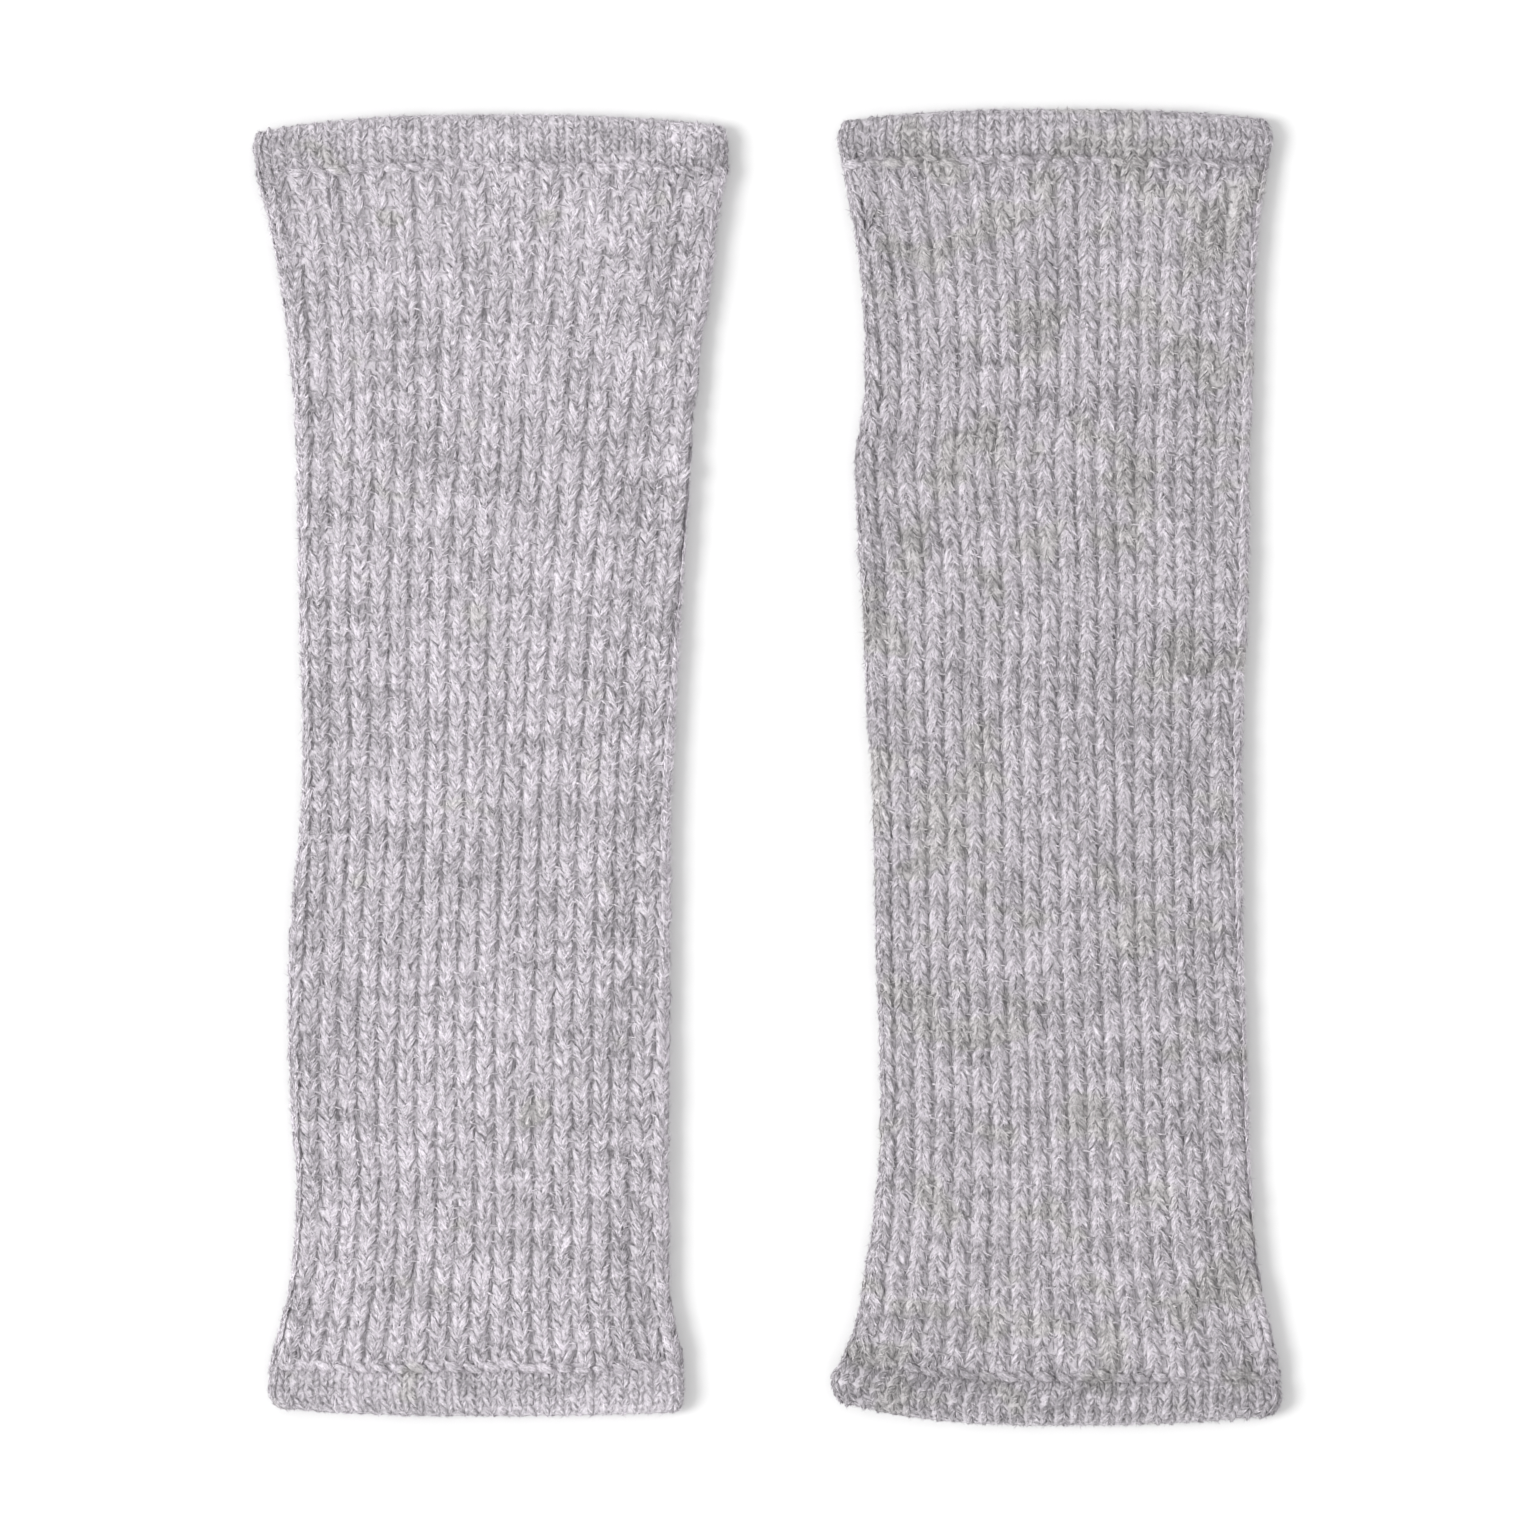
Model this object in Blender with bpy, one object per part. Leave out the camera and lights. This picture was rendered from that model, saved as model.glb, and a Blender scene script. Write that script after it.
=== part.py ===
"""A pair of knitted wrist warmers laid flat side by side: ribbed tubes with a turned hem at each end."""
import math
from collections import namedtuple

import bpy

# Millimetres, turned into metres as each mesh is made
MM = 0.001

# A flat tube seen from its end: the slit between its two faces lies at MIDDLE, and the cloth
# turns over at each side on a round of radius FOLD
MIDDLE = 2.5
SLIT = 0.4
FOLD = 2.5
RIB_FACE = 2.5
HEM_FACE = 2.9
RIB_DEPTH = 0.75

# The seams where the hems are linked on, drawn in a little below the cloth beside them
SEAM_GAP = 0.4
SEAM_DIP = 0.7
SEAM_SHOULDER = 2.0

# How the lines across a glove bend, and the rounding of a hem's folded edge
BOW = 2.6
LIP = 2.4
LIP_STEPS = 3

# Ribs across a front: widths are counted in plain ribs, and the last whole rib is a wide one
PLAIN_RIBS = 17
WIDE_RIB = 1.33
EDGE_RIBS = {"left": (0.75, 0.75), "right": (1.2, 0.75)}
RIB_HEIGHTS = (0.0, 0.82, 1.0, 0.82)
SLIT_RIB_HEIGHT = 0.8

# The back's sides carry one furrow and one rib, as distance from the slit and height of the rib
Fold = namedtuple("Fold", "distance rib_height")
BACK_FOLD = (Fold(0.3, 0.7), Fold(1.0, 0.0), Fold(2.0, 0.8), Fold(3.1, 1.0))

FOLD_STEPS = 4
FLAT_STEPS = 14

# One line across a glove: its height in the middle, its left and right ends, and how far
# each end lies below the middle, all from the middle of the pair
Line = namedtuple("Line", "height left right left_drop right_drop")

# The outer points along one line
Row = namedtuple("Row", "line points")

RIB_LINES = {
    "left": (
        Line(-129.6, -106.8, -18.2, -0.7, -0.7),
        Line(-123.3, -105.1, -19.3, -0.5, -0.5),
        Line(-114.7, -103.0, -21.1, -0.2, -0.2),
        Line(-106.1, -101.7, -21.3, 0.0, 0.0),
        Line(-88.9, -100.8, -21.5, 0.0, 0.0),
        Line(-71.7, -102.1, -21.3, 0.0, 0.0),
        Line(-45.9, -102.6, -21.3, 0.0, 0.0),
        Line(-28.7, -101.7, -21.1, 0.0, 0.0),
        Line(-11.5, -100.0, -21.1, 0.0, 0.0),
        Line(5.7, -99.5, -20.4, 0.0, 0.0),
        Line(31.5, -100.2, -18.9, 0.0, 0.0),
        Line(57.3, -100.6, -17.2, 0.0, 0.0),
        Line(74.5, -101.1, -16.1, 0.0, 0.0),
        Line(91.7, -102.6, -14.6, 0.2, 0.1),
        Line(105.0, -104.3, -12.5, 0.6, 0.4),
        Line(117.8, -106.7, -11.1, 1.2, 0.8),
        Line(129.8, -109.6, -8.8, 1.8, 1.3)),
    "right": (
        Line(-131.7, 16.8, 109.7, -5.6, -0.7),
        Line(-123.3, 18.9, 108.4, -2.6, -0.5),
        Line(-114.7, 20.4, 106.6, -1.2, -0.3),
        Line(-106.1, 21.6, 104.9, -0.5, 0.0),
        Line(-97.5, 23.0, 104.1, -0.2, 0.0),
        Line(-80.3, 24.5, 103.2, 0.0, 0.0),
        Line(-63.1, 24.5, 102.8, 0.0, 0.0),
        Line(-37.3, 23.7, 101.9, 0.0, 0.0),
        Line(-2.9, 22.8, 101.7, 0.0, 0.0),
        Line(14.3, 21.5, 101.9, 0.0, 0.0),
        Line(31.5, 20.9, 102.8, 0.0, 0.0),
        Line(48.7, 19.8, 103.2, 0.0, 0.0),
        Line(65.9, 19.1, 103.2, 0.0, 0.0),
        Line(74.5, 20.4, 103.6, 0.0, 0.0),
        Line(83.1, 21.3, 103.8, 0.0, 0.0),
        Line(100.3, 20.9, 104.2, 0.1, 0.2),
        Line(117.5, 18.7, 105.4, 0.2, 0.7),
        Line(131.0, 16.1, 107.3, 0.4, 1.2)),
}

# A hem starts at the end of its rib, and is drawn here at its fullest and at its folded edge
HEM_LINES = {
    "left_lower": (
        Line(-134.5, -107.2, -18.0, -1.0, -0.8),
        Line(-139.5, -104.4, -18.9, -1.8, -0.8)),
    "left_upper": (
        Line(135.1, -110.4, -8.5, 2.6, 1.9),
        Line(140.5, -108.3, -9.6, 3.8, 2.6)),
    "right_lower": (
        Line(-136.9, 13.5, 110.4, -6.1, -1.8),
        Line(-141.6, 17.2, 108.6, -5.0, -2.3)),
    "right_upper": (
        Line(136.2, 15.2, 108.5, 1.9, 1.9),
        Line(141.6, 17.3, 106.9, 3.4, 2.2)),
}

# Grey wool in daylight, one tone for each glove
WOOL_COLOURS = {"left": (0.521, 0.497, 0.527, 1.0), "right": (0.462, 0.434, 0.464, 1.0)}


def clear_scene():
    """Start from an empty scene."""
    for item in list(bpy.data.objects):
        bpy.data.objects.remove(item, do_unlink=True)


def wool_material(name, colour):
    """Dull wool cloth in one even tone."""
    material = bpy.data.materials.new(name)
    material.use_nodes = True
    shader = material.node_tree.nodes["Principled BSDF"]
    shader.inputs["Base Color"].default_value = colour
    shader.inputs["Roughness"].default_value = 0.95
    shader.inputs["Metallic"].default_value = 0.0
    material.diffuse_color = colour
    return material


def blend(low, high, share):
    """The line lying a share of the way from one line to another."""
    return Line(*(a + (b - a) * share for a, b in zip(low, high)))


def raised(line, amount):
    """A line moved up the glove."""
    return line._replace(height=line.height + amount)


def girth(line):
    """Length of one face of the tube along a line, from slit to slit round both folds."""
    return line.right - line.left - 2.0 * FOLD + math.pi * FOLD


def slit_distance(face):
    """Distance round the fold from the middle of the tube to the edge of a face's slit."""
    return FOLD * math.asin(0.5 * SLIT / face)


def rib_columns(side, line):
    """Distances along a ribbed face from slit to slit, each with its height from furrow to crest."""
    before, after = EDGE_RIBS[side]
    furrows = [before + count for count in range(-2, PLAIN_RIBS + 1)]
    furrows.append(furrows[-1] + WIDE_RIB)
    whole = furrows[-1] + after
    furrows.append(furrows[-1] + 1.0)
    start = slit_distance(RIB_FACE)
    span = girth(line) - 2.0 * start
    columns = [(start, SLIT_RIB_HEIGHT)]
    for furrow, following in zip(furrows, furrows[1:]):
        for step, height in enumerate(RIB_HEIGHTS):
            place = (furrow + (following - furrow) * step / len(RIB_HEIGHTS)) / whole
            if 0.0 < place < 1.0:
                columns.append((start + span * place, height))
    columns.append((start + span, SLIT_RIB_HEIGHT))
    return columns


def plain_columns(face, line):
    """Distances along a plain face, closer together round the folds."""
    start = slit_distance(face)
    quarter = 0.5 * math.pi * FOLD
    total = girth(line)
    fold = [start + (quarter - start) * step / FOLD_STEPS for step in range(FOLD_STEPS)]
    return fold_and_flat([(distance, 1.0) for distance in fold], total)


def back_columns(line):
    """Distances along the back of a ribbed tube: a furrow at each side and a flat underside."""
    return fold_and_flat([(step.distance, step.rib_height) for step in BACK_FOLD], girth(line))


def fold_and_flat(fold, total):
    """The columns of one fold, then even ones over the flat part, then the other fold."""
    quarter = 0.5 * math.pi * FOLD
    flat = [(quarter + (total - 2.0 * quarter) * step / FLAT_STEPS, 1.0)
            for step in range(FLAT_STEPS + 1)]
    other = [(total - distance, height) for distance, height in reversed(fold)]
    return fold + flat + other


def height_at(line, across):
    """How far up the glove a line lies at a place across it."""
    turn = 2.0 * (across - line.left) / (line.right - line.left) - 1.0
    drop = line.left_drop if turn < 0.0 else line.right_drop
    return line.height - drop * abs(turn) ** BOW


def face_point(line, along, face, sunk):
    """A point a distance along a face: across, up the glove, and out from the middle."""
    quarter = 0.5 * math.pi * FOLD
    total = girth(line)
    near = min(along, total - along)
    if near < quarter:
        angle = near / FOLD
        inward = FOLD - (FOLD - sunk) * math.cos(angle)
        lift = (face - sunk) * math.sin(angle)
    else:
        inward = FOLD + near - quarter
        lift = face - sunk
    across = line.left + inward if along < 0.5 * total else line.right - inward
    return across, height_at(line, across), lift


def face_row(line, columns, face, fullness=1.0):
    """Outer points along one line; both ends lie on the slit, and fullness flattens the rest to it."""
    points = []
    for number, (along, height) in enumerate(columns):
        across, up, lift = face_point(line, along, face, RIB_DEPTH * (1.0 - height))
        over_slit = 0.0 if number in (0, len(columns) - 1) else lift - 0.5 * SLIT
        points.append((across, up, over_slit * fullness))
    return Row(line, points)


def shoulder_line(end, inside):
    """The line where cloth has risen to its full height beside the seam at its end."""
    return blend(end, inside, SEAM_SHOULDER / abs(inside.height - end.height))


def rib_rows(lines, columns, face, dip):
    """Outer points of a ribbed panel, drawn in at the seam at each end."""
    low, high = lines[0], lines[-1]
    inside = [shoulder_line(low, lines[1])] + list(lines[1:-1]) + [shoulder_line(high, lines[-2])]
    rows = [face_row(line, columns(line), face) for line in inside]
    first = raised(low, 0.5 * SEAM_GAP)
    last = raised(high, -0.5 * SEAM_GAP)
    return ([face_row(first, columns(first), face - dip)] + rows
            + [face_row(last, columns(last), face - dip)])


def hem_rows(seam, full, edge, face, dip):
    """Outer points of a hem, drawn in at its seam and rounded over at its folded edge."""
    outward = math.copysign(1.0, edge.height - seam.height)
    first = raised(seam, outward * 0.5 * SEAM_GAP)
    rows = [face_row(first, plain_columns(face - dip, first), face - dip)]
    for line in (shoulder_line(seam, full), full):
        rows.append(face_row(line, plain_columns(face, line), face))
    lip_start = 1.0 - LIP / abs(edge.height - full.height)
    for step in range(LIP_STEPS + 1):
        angle = 0.5 * math.pi * step / LIP_STEPS
        place = blend(full, edge, lip_start + (1.0 - lip_start) * math.sin(angle))
        narrowed = blend(full, edge, 1.0 - math.cos(angle))
        line = place._replace(left=narrowed.left, right=narrowed.right)
        rows.append(face_row(line, plain_columns(face, line), face, math.cos(angle)))
    return rows


def inner_edge(row):
    """Even points of the plain inner side that lie under a row, between its two ends."""
    left = row.points[0][0]
    right = row.points[-1][0]
    steps = len(row.points) - 1
    places = [left + (right - left) * step / steps for step in range(1, steps)]
    return [(across, height_at(row.line, across), 0.0) for across in places]


def wall_faces(rows, ends_on_slit):
    """Points and faces of a wall: its outer rows, a cap at each cut end and a plain inner side."""
    width = len(rows[0].points)
    last = len(rows) - 1
    points = [point for row in rows for point in row.points]
    faces = []
    for number in range(last):
        for column in range(width - 1):
            corner = number * width + column
            faces.append((corner, corner + 1, corner + width + 1, corner + width))
    borders = {}
    for number in (0, last):
        outer = [number * width + column for column in range(width)]
        if number == last and ends_on_slit:
            borders[number] = outer
            continue
        inner = [outer[0]] + [len(points) + count for count in range(width - 2)] + [outer[-1]]
        points += inner_edge(rows[number])
        borders[number] = inner
        for column in range(width - 1):
            corners = (outer[column + 1], outer[column], inner[column], inner[column + 1])
            cap = tuple(dict.fromkeys(corners))
            faces.append(cap if number == 0 else cap[::-1])
    right_side = [number * width + width - 1 for number in range(1, last)]
    left_side = [number * width for number in range(last - 1, 0, -1)]
    inner_side = borders[0] + right_side + borders[last][::-1] + left_side
    faces.append(tuple(reversed(inner_side)))
    return points, faces


def build_wall(name, rows, material, outward, ends_on_slit):
    """One closed piece of cloth, above the slit when outward is 1 and below it when -1."""
    points, faces = wall_faces(rows, ends_on_slit)
    placed = [(across * MM, up * MM, (MIDDLE + outward * (0.5 * SLIT + over_slit)) * MM)
              for across, up, over_slit in points]
    runs_up = rows[-1].line.height > rows[0].line.height
    if runs_up != (outward > 0):
        faces = [face[::-1] for face in faces]
    mesh = bpy.data.meshes.new(name)
    mesh.from_pydata(placed, [], faces)
    mesh.materials.append(material)
    piece = bpy.data.objects.new(name, mesh)
    bpy.context.collection.objects.link(piece)


def build_rib(side, material):
    """The front and back of one ribbed tube."""
    lines = RIB_LINES[side]
    front = rib_rows(lines, lambda line: rib_columns(side, line), RIB_FACE, SEAM_DIP)
    back = rib_rows(lines, back_columns, MIDDLE, 0.0)
    build_wall(side + "_rib_front", front, material, 1, False)
    build_wall(side + "_rib_back", back, material, -1, False)


def build_hem(side, end, material):
    """The front and back of one turned hem."""
    seam = RIB_LINES[side][0 if end == "lower" else -1]
    full, edge = HEM_LINES[side + "_" + end]
    front = hem_rows(seam, full, edge, HEM_FACE, SEAM_DIP)
    back = hem_rows(seam, full, edge, MIDDLE, 0.0)
    build_wall(side + "_" + end + "_hem_front", front, material, 1, True)
    build_wall(side + "_" + end + "_hem_back", back, material, -1, True)


def main():
    clear_scene()
    for side, colour in WOOL_COLOURS.items():
        wool = wool_material(side + "_wool", colour)
        build_rib(side, wool)
        for end in ("lower", "upper"):
            build_hem(side, end, wool)


main()
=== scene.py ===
"""A pair of grey ribbed wool wrist warmers laid flat side by side, each stitch and loose fibre modelled."""
import math
from collections import namedtuple

import bpy
import numpy as np
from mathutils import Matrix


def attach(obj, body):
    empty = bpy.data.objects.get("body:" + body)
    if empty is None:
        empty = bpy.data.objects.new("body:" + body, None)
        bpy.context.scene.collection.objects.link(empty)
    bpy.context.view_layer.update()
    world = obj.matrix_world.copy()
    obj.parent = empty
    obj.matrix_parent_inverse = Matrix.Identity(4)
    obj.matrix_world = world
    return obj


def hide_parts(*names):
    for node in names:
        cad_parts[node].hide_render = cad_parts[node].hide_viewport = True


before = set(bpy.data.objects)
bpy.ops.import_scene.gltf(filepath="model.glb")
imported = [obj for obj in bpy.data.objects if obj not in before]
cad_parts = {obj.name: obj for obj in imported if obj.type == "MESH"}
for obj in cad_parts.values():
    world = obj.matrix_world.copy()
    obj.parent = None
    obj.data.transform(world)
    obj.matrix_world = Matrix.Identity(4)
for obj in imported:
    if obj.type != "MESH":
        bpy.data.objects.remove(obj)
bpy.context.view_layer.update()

# Millimetres, turned into metres as each mesh is made
MM = 0.001

# A flat tube seen from its end, as in the solids: how high its middle lies, the slit inside it,
# how round its folds are, and how far the rib and the hem stand from the middle on the front
MIDDLE = 2.5
SLIT = 0.4
FOLD = 2.5
RIB_FACE = 2.5
HEM_FACE = 2.9

# The groove at a seam: how deep it is, and how far from the seam the cloth is full again
SEAM_DIP = 0.7
SEAM_SHOULDER = 2.0

# How late a line across a glove bends down to its ends, and how round a hem's folded edge is
BOW = 2.6
LIP = 2.4

# How far the cloth's inner side stays inside its outline at the folds
EDGE_INSET = 1.3

# How low the wool of the back may hang
LEAST_HEIGHT = 0.05

# Ribs round a tube, with their widths counted in plain ribs. The front has two more behind the
# left fold, where its furrows are counted from, and its last whole rib is a wide one
FOLD_RIBS = 2
PLAIN_RIBS = 17
WIDE_RIB = 1.25
LAST_FURROW = FOLD_RIBS + PLAIN_RIBS + 1
BACK_RIBS = 18

# What shows of a rib between the left fold and its first furrow, and after the last furrow
EDGE_RIBS = {"left": (0.75, 0.83), "right": (1.2, 0.83)}

# Heights across a rib from its furrow, as shares of the depth, and that depth
RIB_SHAPE = (0.0, 0.82, 1.0, 0.82)
RIB_DEPTH = 0.52

# The furrows close up near a seam, and beside a fold, where this share of their depth stays
FURROW_FADE = 3.5
FOLD_FADE = 0.14
FOLD_FURROW = 0.25

# Knitting: heights of a course, the width of a hem's wale, and the spacing of the seam's loops
COURSE = 3.65
HEM_COURSE = 1.9
HEM_WALE = 3.2
LOOP_PITCH = 4.0

# Along a glove from a seam: the hem's first course, the hem's cloth under the rib, the loops on
# the rib, and the rib cloth's first rings
HEM_START = -0.2
HEM_TUCK = 0.6
SEAM_INSET = 0.7
SEAM_RINGS = (0.2, 1.2, 2.2, 3.5)

# The hem cloth's fineness
HEM_RINGS = 14
HEM_COLUMNS = 60

# Depths under the face of the cloth: the two ground cloths, the legs of the rib on both faces,
# what fills the furrows, the hem's stitches, and how much deeper they lie at its folded edge
RIB_CLOTH_SUNK = 0.26
HEM_CLOTH_SUNK = 0.36
STITCH_SUNK = 0.34
BACK_SUNK = 0.5
BAR_SUNK = 0.28
SHADOW_TICK_SUNK = 0.4
LAST_SHADOW_TICK_SUNK = 0.3
HEM_STITCH_SUNK = 0.4
HEM_EDGE_SUNK = 0.33

# Depths of the seam's loops: at the folds, and on the back, where the glove lies on them
LOOP_FOLD_SUNK = 0.75
LOOP_BACK_SUNK = 0.95

# One line across a glove: its height in the middle, its left and right ends, and how far
# each end lies below the middle, all from the middle of the pair
Line = namedtuple("Line", "height left right left_drop right_drop")

# The ribbed tubes from their lower end to their upper one
RIB_LINES = {
    "left": (
        Line(-129.6, -106.8, -18.2, -0.7, -0.7),
        Line(-123.3, -105.1, -19.3, -0.5, -0.5),
        Line(-114.7, -103.0, -21.1, -0.2, -0.2),
        Line(-106.1, -101.7, -21.3, 0.0, 0.0),
        Line(-88.9, -100.8, -21.5, 0.0, 0.0),
        Line(-71.7, -102.1, -21.3, 0.0, 0.0),
        Line(-45.9, -102.6, -21.3, 0.0, 0.0),
        Line(-28.7, -101.7, -21.1, 0.0, 0.0),
        Line(-11.5, -100.0, -21.1, 0.0, 0.0),
        Line(5.7, -99.5, -20.4, 0.0, 0.0),
        Line(31.5, -100.2, -18.9, 0.0, 0.0),
        Line(57.3, -100.6, -17.2, 0.0, 0.0),
        Line(74.5, -101.1, -16.1, 0.0, 0.0),
        Line(91.7, -102.6, -14.6, 0.2, 0.1),
        Line(105.0, -104.3, -12.5, 0.6, 0.4),
        Line(117.8, -106.7, -11.1, 1.2, 0.8),
        Line(129.8, -109.6, -8.8, 1.8, 1.3)),
    "right": (
        Line(-131.7, 16.8, 109.7, -5.6, -0.7),
        Line(-123.3, 18.9, 108.4, -2.6, -0.5),
        Line(-114.7, 20.4, 106.6, -1.2, -0.3),
        Line(-106.1, 21.6, 104.9, -0.5, 0.0),
        Line(-97.5, 23.0, 104.1, -0.2, 0.0),
        Line(-80.3, 24.5, 103.2, 0.0, 0.0),
        Line(-63.1, 24.5, 102.8, 0.0, 0.0),
        Line(-37.3, 23.7, 101.9, 0.0, 0.0),
        Line(-2.9, 22.8, 101.7, 0.0, 0.0),
        Line(14.3, 21.5, 101.9, 0.0, 0.0),
        Line(31.5, 20.9, 102.8, 0.0, 0.0),
        Line(48.7, 19.8, 103.2, 0.0, 0.0),
        Line(65.9, 19.1, 103.2, 0.0, 0.0),
        Line(74.5, 20.4, 103.6, 0.0, 0.0),
        Line(83.1, 21.3, 103.8, 0.0, 0.0),
        Line(100.3, 20.9, 104.2, 0.1, 0.2),
        Line(117.5, 18.7, 105.4, 0.2, 0.7),
        Line(131.0, 16.1, 107.3, 0.4, 1.2)),
}

# A hem starts at the end of its rib, and is drawn here at its fullest and at its folded edge
HEM_LINES = {
    "left_lower": (
        Line(-134.5, -107.2, -18.0, -1.0, -0.8),
        Line(-139.5, -103.0, -20.0, -1.8, -0.8)),
    "left_upper": (
        Line(135.1, -110.4, -8.5, 2.6, 1.9),
        Line(140.5, -108.0, -11.2, 3.8, 2.6)),
    "right_lower": (
        Line(-136.9, 13.5, 110.4, -6.1, -1.8),
        Line(-141.6, 17.2, 106.0, -5.0, -2.3)),
    "right_upper": (
        Line(136.2, 15.2, 108.5, 1.9, 1.9),
        Line(141.6, 17.5, 105.2, 2.7, 2.2)),
}

# How far the ribs wander off to the right on the front, at the left fold and at the right one
Drift = namedtuple("Drift", "height left right")

RIB_DRIFT = {
    "left": (
        Drift(-129.0, -1.0, -1.1),
        Drift(-80.0, -0.5, -1.0),
        Drift(-39.0, 1.2, -0.3),
        Drift(0.0, 0.0, 0.0),
        Drift(42.0, 0.0, 1.6),
        Drift(84.0, 1.6, 4.2),
        Drift(129.0, 3.8, 7.6)),
    "right": (
        Drift(-129.0, 0.8, 4.0),
        Drift(-80.0, -0.7, 1.3),
        Drift(-39.0, -0.8, 0.5),
        Drift(0.0, 0.0, 0.0),
        Drift(42.0, 1.5, -0.2),
        Drift(84.0, -0.9, 0.1),
        Drift(129.0, -2.3, 1.3)),
}

# A patch of cloth as rules: one gives a point from a distance up the patch, a share of the way
# round one face, the face (1 front, -1 back) and a depth under the crest; the other gives the
# share at which that place ends up where the ribs wander
Patch = namedtuple("Patch", "length point placed")

# One knitted stitch's place: the point, the way the cloth faces, the way the wale runs, the way the course
# runs, as long as the stitch is wide, and how much paler it lies, which holds painted shade and painted
# highlights
Stitch = namedtuple("Stitch", "point outward wale course shade")

# The two gloves are knitted in opposite directions, so their stitches point opposite ways
KNIT_WAY = {"left": 1.0, "right": -1.0}

# A leg's fullness on its way from one end to the other: the place, then the share of its width
LEG_OUTLINE = ((0.0, 0.3), (1.0, 0.22), (0.25, 0.82), (0.6, 1.0), (0.85, 0.72))

# How far an uneven leg is off: aside as a share of the wale, along as one of its own length, out
# of the cloth as one of its thickness, turned in radians, and in each of its sizes
WOBBLE = {"aside": 0.08, "along": 0.22, "out": 0.3, "lean": 0.3, "roll": 0.25,
          "width": 0.25, "length": 0.2, "thickness": 0.3}

# How far the streaks on a leg slant across it
LEG_SLANT = 0.9

# Yarn legs: sizes in millimetres, angles in degrees. The grain is how the fibres run, counted from the
# wale. A bar lies across a furrow, and a tick is a dark leg that paints the shadow in the hole between two
# bars
RIB_LEG = {"sides": (-1, 1), "length": 5.6, "width": 2.15, "thickness": 0.41, "arch": 0.08, "lean": -14.0,
           "roll": 7.0, "aside": 0.17, "tip_down": 0.2, "unevenness": 0.65, "grain": -36.0,
           "paleness": 0.0, "around": 4, "segments": 3}
BACK_LEG = {**RIB_LEG, "segments": 2}
PURL_BAR = {"sides": (1,), "length": 2.2, "width": 1.6, "thickness": 0.8, "arch": 0.15, "lean": 88.0,
            "roll": 0.0, "aside": 0.0, "tip_down": 0.0, "unevenness": 0.9, "grain": 60.0,
            "paleness": 0.0, "around": 4, "segments": 1}
FURROW_SHADOW_TICK = {**PURL_BAR, "length": 2.0, "width": 0.9, "thickness": 0.5, "lean": 6.0, "grain": 12.0,
               "paleness": -0.38}
LAST_SHADOW_TICK = {**FURROW_SHADOW_TICK, "width": 1.5, "paleness": -0.8}
HEM_LEG = {**RIB_LEG, "length": 2.7, "width": 1.6, "thickness": 0.54, "arch": 0.12, "lean": -20.0,
           "roll": 6.0, "aside": 0.24, "unevenness": 0.55, "segments": 2}
SEAM_LOOP = {**PURL_BAR, "length": 4.2, "width": 2.2, "thickness": 1.1, "arch": 0.4, "lean": 74.0,
             "tip_down": 0.2, "grain": 60.0, "paleness": 0.1, "around": 6, "segments": 3}

# How much paler, or darker below nought, the ribs lie near a seam, as painted shade in the crease where the
# loops join the rib, and how far it reaches in millimetres from the seam
SEAM_PAINTED_SHADE = -0.1
SEAM_PAINTED_SHADE_REACH = 6.0

# The same beside a fold: painted shade on the lit left fold and on the right part turned from the light,
# and a painted highlight on the right fold's very edge, on ribs and hems; how much, from which share of the
# width on, and over how much it comes
Shade = namedtuple("Shade", "amount start fade")

LEFT_FOLD_PAINTED_SHADE = Shade(-0.12, 0.06, 0.04)
RIGHT_FOLD_PAINTED_SHADE = Shade(-0.13, 0.78, 0.08)
RIGHT_EDGE_PAINTED_HIGHLIGHT = Shade(0.3, 0.96, 0.025)
HEM_RIGHT_EDGE_PAINTED_HIGHLIGHT = Shade(0.12, 0.96, 0.03)

# How much paler each hem's wool lies, and how much more at its folded edge
HEM_PALENESS = {"left_lower": -0.165, "left_upper": -0.27, "right_lower": -0.36, "right_upper": -0.27}
HEM_EDGE_PALER = {"lower": 0.03, "upper": 0.19}

# Loose fibres: how many to the square metre of yarn, their size in millimetres, their roots'
# height over the yarn, and how far they turn from its grain in degrees
FUZZ = {"front": {"density": 10.6e6, "length": 1.35, "width": 0.23, "height": 0.2,
                  "spread": 24.0, "tilt": 16.0},
        "back": {"density": 7.0e6, "length": 1.5, "width": 0.27, "height": 0.2,
                 "spread": 15.0, "tilt": 16.0},
        "hems": {"density": 15.0e6, "length": 1.1, "width": 0.2, "height": 0.12,
                 "spread": 26.0, "tilt": 8.0}}
LEAST_TILT = -4.0
FIBRE_SEED = 7

# How a fibre's length varies, and how far it may lie on its side, in radians
FIBRE_STRETCH = (0.5, 1.5)
FIBRE_SIDE = 0.7

# Fibres grow where the yarn faces out at least this much, and not near a leg's tip
FIBRE_FACING = 0.15
FIBRE_TIP = 0.3

# Wool tones in daylight, as linear colours
WOOL_TONES = {"left": (0.675, 0.64, 0.682), "right": (0.615, 0.583, 0.621)}

# How much of the tone a fibre has at each lightness, and the palest that any fibre is
TONE_STEPS = ((0.0, 0.5), (1.0, 1.3), (0.3, 0.82), (0.55, 1.03))
PALEST = 0.95

# How light the fuzz and the ground cloth are beside the yarn; the ground cloth is darker as painted shade
# in the gaps between the stitches
FUZZ_SHADE = 1.07
GROUND_PAINTED_SHADE = 0.92

# From what level of a slow noise the wool turns warmer, over how much more of it, and what
# colour it then takes on: the lower the level, the more warm patches
WARM_FROM = {"left": 0.685, "right": 0.56}
WARM_FADE = 0.06
WARM_CAST = (0.92, 0.935, 0.885, 1.0)

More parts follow.
